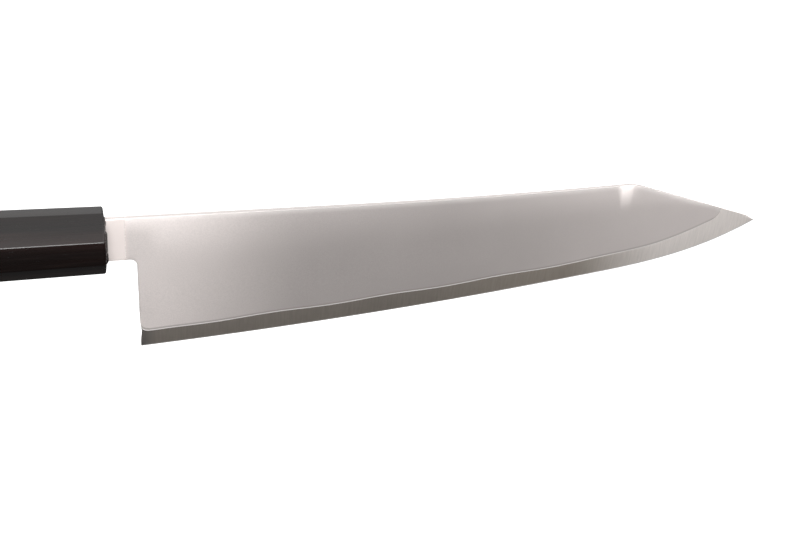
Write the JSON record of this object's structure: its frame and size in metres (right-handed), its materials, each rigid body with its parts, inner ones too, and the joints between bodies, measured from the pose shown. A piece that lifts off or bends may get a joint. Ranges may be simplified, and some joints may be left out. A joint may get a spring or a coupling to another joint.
{
  "type": "kiritsuke knife",
  "caption": "Long kitchen knife with a clipped point, a laminated double-bevel blade and a tapered octagonal wooden handle on a hidden tang.",
  "frame": {"origin": "centre of the handle's butt face, on the handle's axis", "axes": "+X along the handle's axis from the butt to the tip, +Z from the edge to the spine, +Y to the left side of the blade as the user holds it"},
  "size_m": [0.3958, 0.0222, 0.0551],
  "materials": {
    "core_steel": "dark stone-polished hard steel",
    "cladding": "fine sandblasted matte, polished at the neck and spine",
    "handle_wood": "dark oiled close-grained hardwood, satin",
    "dowel_wood": "plain pale softwood",
    "bedding": "cured adhesive",
    "seal": "glossy black resin"
  },
  "bodies": {
    "root": {"core_steel": "core_steel", "cladding_right": "cladding", "cladding_left": "cladding", "handle": "handle_wood", "tang_dowel": "dowel_wood", "tang_bedding": "bedding", "mouth_seal": "seal"}
  },
  "joints": []
}
